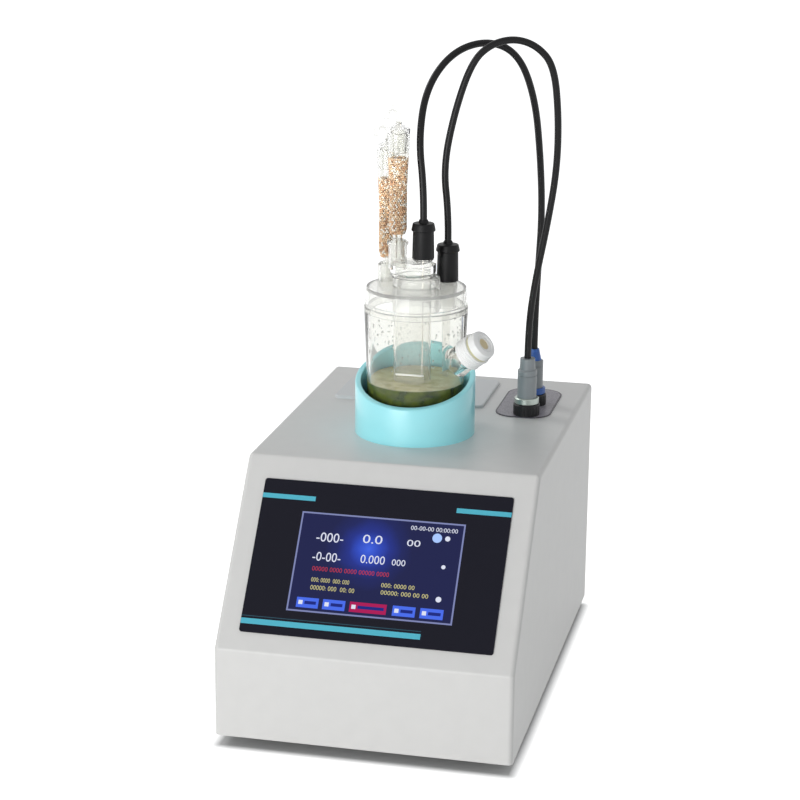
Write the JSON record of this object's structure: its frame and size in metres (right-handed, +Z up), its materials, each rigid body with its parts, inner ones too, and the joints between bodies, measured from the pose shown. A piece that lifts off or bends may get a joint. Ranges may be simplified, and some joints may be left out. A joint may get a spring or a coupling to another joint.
{
  "type": "coulometric moisture titrator",
  "caption": "Benchtop coulometric moisture titrator: wedge-fronted case with touch screen, glass titration cell in a ring holder, drying tubes, electrodes, leads and a built-in printer.",
  "frame": {"origin": "centre of the footprint, at the lower face of the feet", "axes": "-Y is the front with the screen, +Z up, +X to the right as seen from the front"},
  "size_m": [0.243, 0.388, 0.5488],
  "materials": {
    "painted_case": "light warm grey powder coat, satin",
    "dark_steel": "black powder coat",
    "rubber": "moulded rubber",
    "zinc_screw": "zinc plated",
    "black_plastic": "moulded black plastic",
    "brass_blade": "plated brass",
    "fuse_glass": "clear glass with metal ends",
    "panel_film": "printed polyester film",
    "screen": "lit touch screen",
    "module": "display module",
    "board": "solder mask",
    "components": "electronic parts",
    "brass_post": "turned brass",
    "steel_case": "zinc coated sheet",
    "holder_cyan": "turquoise paint on turned plastic",
    "bracket": "bead-blasted",
    "motor": "plated can",
    "rotor": "acetal",
    "magnet": "nickel plated",
    "ptfe": "PTFE",
    "clear_glass": "borosilicate glass",
    "liquid": "olive titration liquid",
    "cap_white": "translucent white plastic",
    "septum": "natural rubber",
    "frit": "sintered ceramic",
    "platinum": "platinum",
    "cap_black": "moulded black plastic",
    "lead": "black cable jacket",
    "plug_grey": "grey moulded plastic",
    "ring_silver": "satin",
    "plug_blue": "blue moulded plastic",
    "drying_agent": "drying granules",
    "socket_plate": "anodised look plate",
    "printer_grey": "grey moulded plastic",
    "print_head": "thermal head block",
    "paper": "thermal paper"
  },
  "bodies": {
    "root": {"housing_shell": "painted_case", "base_plate": "dark_steel", "feet": "rubber", "case_screws": "zinc_screw", "rear_panel": "dark_steel", "power_inlet": "black_plastic", "inlet_blades": "brass_blade", "front_panel": "panel_film", "touch_glass": "screen", "display_module": "module", "main_board": "board", "board_parts": "components", "board_standoffs": "brass_post", "power_supply": "steel_case", "cell_holder": "holder_cyan", "holder_screws": "zinc_screw", "motor_bracket": "bracket", "stirrer_motor": "motor", "socket_plate": "socket_plate", "electrolysis_socket": "black_plastic", "measuring_socket": "black_plastic", "printer_bezel": "printer_grey", "printer_hinge_pin": "zinc_screw", "printer_bay": "black_plastic", "print_head": "print_head"},
    "magnet_rotor": {"magnet_rotor": "rotor", "rotor_magnets": "magnet"},
    "stir_bar": {"stir_bar": "ptfe"},
    "cell": {"cell_vessel": "clear_glass", "electrolyte": "liquid"},
    "cell_lid": {"cell_lid": "clear_glass"},
    "injection_septum": {"injection_septum": "septum"},
    "injection_cap": {"injection_cap": "cap_white"},
    "electrolysis_electrode": {"electrolysis_electrode": "clear_glass", "electrolysis_diaphragm": "frit", "cathode_gauze": "platinum", "electrolysis_cap": "cap_black", "electrolysis_lead": "lead", "electrolysis_plug": "plug_grey", "electrolysis_plug_ring": "plug_blue", "electrolysis_plug_boot": "plug_blue"},
    "measuring_electrode": {"measuring_electrode": "clear_glass", "measuring_pins": "platinum", "measuring_cap": "cap_black", "measuring_lead": "lead", "measuring_plug": "plug_grey", "measuring_plug_ring": "ring_silver"},
    "front_drying_tube": {"front_drying_tube": "clear_glass", "front_drying_agent": "drying_agent"},
    "front_stopper": {"front_stopper": "clear_glass"},
    "rear_drying_tube": {"rear_drying_tube": "clear_glass", "rear_drying_agent": "drying_agent"},
    "rear_stopper": {"rear_stopper": "clear_glass"},
    "power_rocker": {"power_rocker": "black_plastic"},
    "fuse_drawer": {"fuse_drawer": "black_plastic", "fuse": "fuse_glass"},
    "printer_door": {"printer_door": "printer_grey"},
    "platen_roller": {"platen_roller": "rubber"},
    "paper_roll": {"paper_roll": "paper"}
  },
  "joints": [
    {"name": "cell_lift", "type": "slide", "parent": "root", "child": "cell", "axis": [0, 0, 1], "range_m": [0, 0.075]},
    {"name": "lid_lift", "type": "slide", "parent": "cell", "child": "cell_lid", "axis": [0, 0, 1], "range_m": [0, 0.03]},
    {"name": "electrolysis_electrode_lift", "type": "slide", "parent": "cell_lid", "child": "electrolysis_electrode", "axis": [0, 0, 1], "range_m": [0, 0.11]},
    {"name": "measuring_electrode_lift", "type": "slide", "parent": "cell_lid", "child": "measuring_electrode", "axis": [0, 0, 1], "range_m": [0, 0.11]},
    {"name": "front_drying_tube_lift", "type": "slide", "parent": "electrolysis_electrode", "child": "front_drying_tube", "axis": [0, 0, 1], "range_m": [0, 0.03]},
    {"name": "front_stopper_lift", "type": "slide", "parent": "front_drying_tube", "child": "front_stopper", "axis": [0, 0, 1], "range_m": [0, 0.025]},
    {"name": "rear_drying_tube_lift", "type": "slide", "parent": "cell_lid", "child": "rear_drying_tube", "axis": [0, 0, 1], "range_m": [0, 0.03]},
    {"name": "rear_stopper_lift", "type": "slide", "parent": "rear_drying_tube", "child": "rear_stopper", "axis": [0, 0, 1], "range_m": [0, 0.025]},
    {"name": "rotor_spin", "type": "hinge", "parent": "root", "child": "magnet_rotor", "pos_m": [-0.0033, 0.0058, 0.2], "axis": [0, 0, 1], "continuous": true},
    {"name": "stir_bar_spin", "type": "hinge", "parent": "cell", "child": "stir_bar", "pos_m": [-0.0033, 0.0058, 0.2294], "axis": [0, 0, 1], "continuous": true},
    {"name": "septum_slide", "type": "slide", "parent": "cell", "child": "injection_septum", "axis": [0.7405, -0.2992, 0.6018], "range_m": [0, 0.009]},
    {"name": "injection_cap_turn", "type": "hinge", "parent": "injection_septum", "child": "injection_cap", "pos_m": [0.05224, -0.01664, 0.29664], "axis": [0.7405, -0.2992, 0.6018], "range_deg": [0, 1080]},
    {"name": "power_rocker_tilt", "type": "hinge", "parent": "root", "child": "power_rocker", "pos_m": [-0.068, 0.1868, 0.0795], "axis": [1, 0, 0], "range_deg": [0, 16]},
    {"name": "fuse_drawer_slide", "type": "slide", "parent": "root", "child": "fuse_drawer", "axis": [0, 1, 0], "range_m": [0, 0.019]},
    {"name": "printer_door_hinge", "type": "hinge", "parent": "root", "child": "printer_door", "pos_m": [-0.0275, 0.1619, 0.2175], "axis": [-1, 0, 0], "range_deg": [0, 95]},
    {"name": "platen_spin", "type": "hinge", "parent": "printer_door", "child": "platen_roller", "pos_m": [-0.0275, 0.1065, 0.2099], "axis": [1, 0, 0], "continuous": true},
    {"name": "paper_roll_spin", "type": "hinge", "parent": "root", "child": "paper_roll", "pos_m": [-0.0275, 0.1406, 0.1868], "axis": [1, 0, 0], "continuous": true}
  ],
  "couplings": [
    {"joint": "stir_bar_spin", "follows": "rotor_spin", "ratio": 1},
    {"joint": "septum_slide", "follows": "injection_cap_turn", "m_per_rad": 0.0004774},
    {"joint": "platen_spin", "follows": "paper_roll_spin", "ratio": 5}
  ]
}
